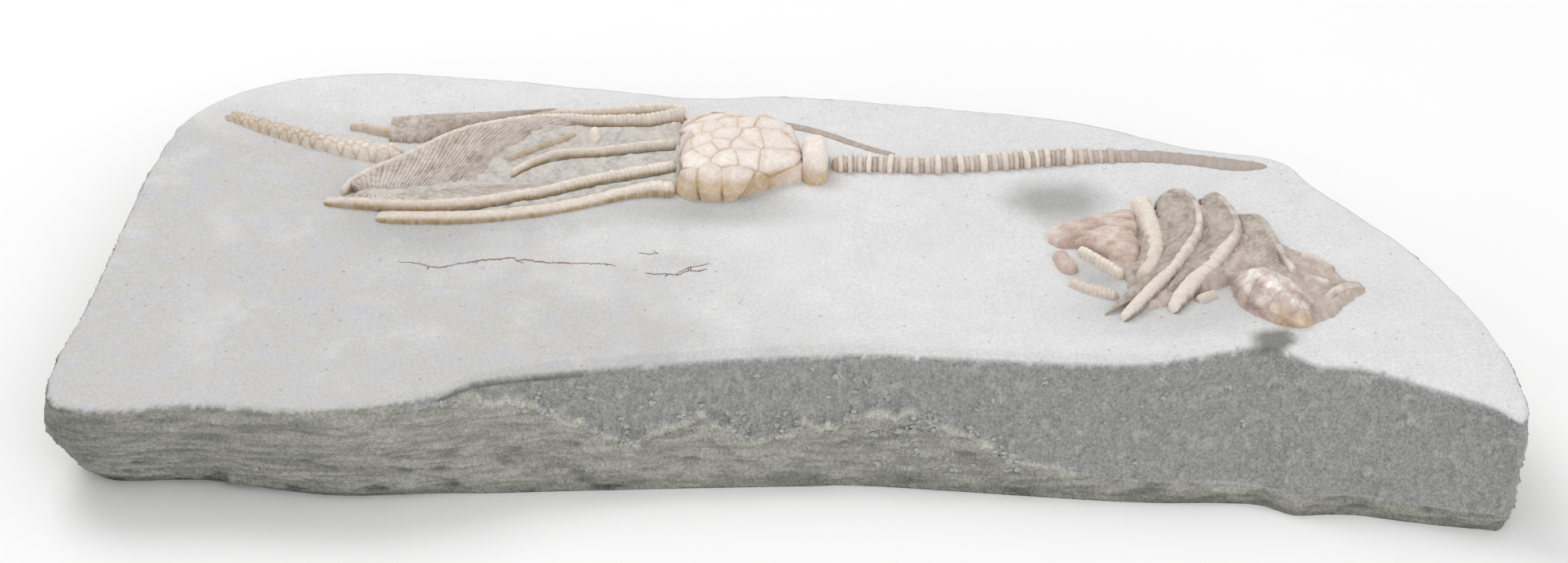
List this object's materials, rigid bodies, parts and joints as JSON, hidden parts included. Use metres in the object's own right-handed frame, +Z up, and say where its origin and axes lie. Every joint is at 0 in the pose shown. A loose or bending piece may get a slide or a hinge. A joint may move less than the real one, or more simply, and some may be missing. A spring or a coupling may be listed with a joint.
{
  "type": "crinoid fossil plate",
  "caption": "Slab of pale grey siltstone with sea lilies lying in relief on its top face: a plated cup with long feathered arms and a ringed stem, and a small curled crown with a shell",
  "frame": {"origin": "centre of the bounding box in plan, on the flat underside", "axes": "+X along the slab towards the stem's far end and the small crown, +Y towards the back edge, +Z up out of the fossil face"},
  "size_m": [0.1686, 0.0844, 0.0196],
  "materials": {
    "siltstone": "matte",
    "calcite": "satin",
    "pale_calcite": "satin",
    "shell_calcite": "polished"
  },
  "bodies": {
    "root": {"rock_slab": "siltstone", "main_cup": "pale_calcite", "basal_ring": "pale_calcite", "main_stem": "calcite", "thin_stem": "calcite", "anal_tube": "calcite", "main_arm_1": "calcite", "main_arm_2": "calcite", "main_arm_3": "calcite", "main_arm_4": "calcite", "main_arm_5": "calcite", "main_arm_6": "calcite", "main_arm_7": "calcite", "loose_ossicle": "pale_calcite", "small_cup": "calcite", "small_radial": "calcite", "small_arm_1": "pale_calcite", "small_arm_2": "calcite", "small_arm_3": "calcite", "small_arm_4": "calcite", "small_arm_5": "calcite", "small_arm_6": "calcite", "small_arm_7": "calcite", "small_arm_8": "calcite", "small_arm_9": "calcite", "small_arm_10": "calcite", "cap_shell": "shell_calcite"}
  },
  "joints": []
}
